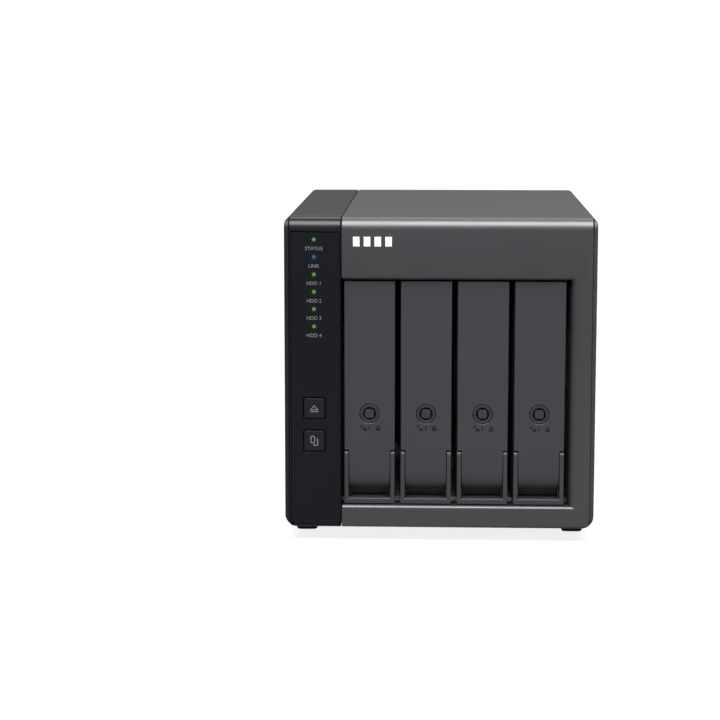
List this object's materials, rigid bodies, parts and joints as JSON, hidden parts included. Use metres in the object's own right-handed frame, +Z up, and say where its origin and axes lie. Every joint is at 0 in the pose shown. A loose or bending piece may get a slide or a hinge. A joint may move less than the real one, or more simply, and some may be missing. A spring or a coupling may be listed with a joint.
{
  "type": "nas enclosure",
  "caption": "Boxy desktop drive enclosure with upright drive trays behind pull handles, a dark control column at the left and a large fan at the back.",
  "frame": {"origin": "centre of the bounding box in plan, at the underside of the feet", "axes": "+X to the viewer's right, -Y out of the front, +Y along the depth to the back, +Z up"},
  "size_m": [0.16, 0.219, 0.1685],
  "materials": {
    "grey_casing": "satin",
    "grey_front": "satin",
    "tray_plastic": "matte",
    "dark_casing": "satin",
    "dark_plastic": "satin",
    "dark_fascia": "gloss",
    "inner_plastic": "matte",
    "white_plastic": "satin",
    "light_pipe": "gloss",
    "sheet_steel": "satin",
    "bright_metal": "satin",
    "guard_wire": "satin",
    "rubber": "matte",
    "circuit_board": "satin"
  },
  "bodies": {
    "casing": {"left_cover": "dark_casing", "right_cover": "grey_casing", "front_bezel": "grey_front", "control_column": "dark_plastic", "control_fascia": "dark_fascia", "light_pipe": "light_pipe", "front_board": "circuit_board", "cage_left_side": "sheet_steel", "cage_right_side": "sheet_steel", "cage_floor": "sheet_steel", "cage_roof": "sheet_steel", "backplane_board": "circuit_board", "main_board": "circuit_board", "heat_sink": "bright_metal", "rear_panel": "dark_casing", "usb_c_port": "bright_metal", "power_inlet": "inner_plastic", "mode_switch_body": "inner_plastic", "fan_frame": "dark_plastic", "fan_guard": "guard_wire", "foot_front_left": "rubber", "foot_front_right": "rubber", "foot_rear_left": "rubber", "foot_rear_right": "rubber", "drive_connector_1": "inner_plastic", "drive_connector_2": "inner_plastic", "drive_connector_3": "inner_plastic", "drive_connector_4": "inner_plastic"},
    "tray_1": {"tray_1_front": "tray_plastic", "tray_1_frame": "inner_plastic", "tray_1_upper_clip": "white_plastic", "tray_1_lower_clip": "white_plastic"},
    "tray_1_handle": {"tray_1_handle": "tray_plastic"},
    "tray_1_lock": {"tray_1_lock": "inner_plastic"},
    "tray_2": {"tray_2_front": "tray_plastic", "tray_2_frame": "inner_plastic", "tray_2_upper_clip": "white_plastic", "tray_2_lower_clip": "white_plastic"},
    "tray_2_handle": {"tray_2_handle": "tray_plastic"},
    "tray_2_lock": {"tray_2_lock": "inner_plastic"},
    "tray_3": {"tray_3_front": "tray_plastic", "tray_3_frame": "inner_plastic", "tray_3_upper_clip": "white_plastic", "tray_3_lower_clip": "white_plastic"},
    "tray_3_handle": {"tray_3_handle": "tray_plastic"},
    "tray_3_lock": {"tray_3_lock": "inner_plastic"},
    "tray_4": {"tray_4_front": "tray_plastic", "tray_4_frame": "inner_plastic", "tray_4_upper_clip": "white_plastic", "tray_4_lower_clip": "white_plastic"},
    "tray_4_handle": {"tray_4_handle": "tray_plastic"},
    "tray_4_lock": {"tray_4_lock": "inner_plastic"},
    "eject_button": {"eject_button": "dark_plastic"},
    "copy_button": {"copy_button": "dark_plastic"},
    "set_button": {"set_button": "white_plastic"},
    "power_button": {"power_button": "dark_plastic"},
    "mode_slider_1": {"mode_slider_1": "white_plastic"},
    "mode_slider_2": {"mode_slider_2": "white_plastic"},
    "mode_slider_3": {"mode_slider_3": "white_plastic"},
    "fan_rotor": {"fan_rotor": "dark_plastic"}
  },
  "joints": [
    {"name": "tray_1_slide", "type": "slide", "parent": "casing", "child": "tray_1", "axis": [0, -1, 0], "range_m": [0, 0.14]},
    {"name": "tray_1_handle_hinge", "type": "hinge", "parent": "tray_1", "child": "tray_1_handle", "pos_m": [-0.03625, -0.1045, 0.0452], "axis": [-1, 0, 0], "range_deg": [0, 60]},
    {"name": "tray_1_lock_turn", "type": "hinge", "parent": "tray_1", "child": "tray_1_lock", "pos_m": [-0.03625, -0.102, 0.067], "axis": [0, 1, 0], "range_deg": [0, 90]},
    {"name": "tray_2_slide", "type": "slide", "parent": "casing", "child": "tray_2", "axis": [0, -1, 0], "range_m": [0, 0.14]},
    {"name": "tray_2_handle_hinge", "type": "hinge", "parent": "tray_2", "child": "tray_2_handle", "pos_m": [-0.00703, -0.1045, 0.0452], "axis": [-1, 0, 0], "range_deg": [0, 60]},
    {"name": "tray_2_lock_turn", "type": "hinge", "parent": "tray_2", "child": "tray_2_lock", "pos_m": [-0.00703, -0.102, 0.067], "axis": [0, 1, 0], "range_deg": [0, 90]},
    {"name": "tray_3_slide", "type": "slide", "parent": "casing", "child": "tray_3", "axis": [0, -1, 0], "range_m": [0, 0.14]},
    {"name": "tray_3_handle_hinge", "type": "hinge", "parent": "tray_3", "child": "tray_3_handle", "pos_m": [0.02219, -0.1045, 0.0452], "axis": [-1, 0, 0], "range_deg": [0, 60]},
    {"name": "tray_3_lock_turn", "type": "hinge", "parent": "tray_3", "child": "tray_3_lock", "pos_m": [0.02219, -0.102, 0.067], "axis": [0, 1, 0], "range_deg": [0, 90]},
    {"name": "tray_4_slide", "type": "slide", "parent": "casing", "child": "tray_4", "axis": [0, -1, 0], "range_m": [0, 0.14]},
    {"name": "tray_4_handle_hinge", "type": "hinge", "parent": "tray_4", "child": "tray_4_handle", "pos_m": [0.05141, -0.1045, 0.0452], "axis": [-1, 0, 0], "range_deg": [0, 60]},
    {"name": "tray_4_lock_turn", "type": "hinge", "parent": "tray_4", "child": "tray_4_lock", "pos_m": [0.05141, -0.102, 0.067], "axis": [0, 1, 0], "range_deg": [0, 90]},
    {"name": "eject_press", "type": "slide", "parent": "casing", "child": "eject_button", "axis": [0, 1, 0], "range_m": [0, 0.001], "stiffness_N_per_m": 400},
    {"name": "copy_press", "type": "slide", "parent": "casing", "child": "copy_button", "axis": [0, 1, 0], "range_m": [0, 0.001], "stiffness_N_per_m": 400},
    {"name": "set_press", "type": "slide", "parent": "casing", "child": "set_button", "axis": [0, -1, 0], "range_m": [0, 0.0012], "stiffness_N_per_m": 400},
    {"name": "power_press", "type": "slide", "parent": "casing", "child": "power_button", "axis": [0, -1, 0], "range_m": [0, 0.0012], "stiffness_N_per_m": 400},
    {"name": "mode_slider_1_slide", "type": "slide", "parent": "casing", "child": "mode_slider_1", "axis": [1, 0, 0], "range_m": [0, 0.0035]},
    {"name": "mode_slider_2_slide", "type": "slide", "parent": "casing", "child": "mode_slider_2", "axis": [1, 0, 0], "range_m": [0, 0.0035]},
    {"name": "mode_slider_3_slide", "type": "slide", "parent": "casing", "child": "mode_slider_3", "axis": [1, 0, 0], "range_m": [0, 0.0035]},
    {"name": "fan_spin", "type": "hinge", "parent": "casing", "child": "fan_rotor", "pos_m": [0.0081, 0.091, 0.088], "axis": [0, 1, 0], "continuous": true}
  ]
}
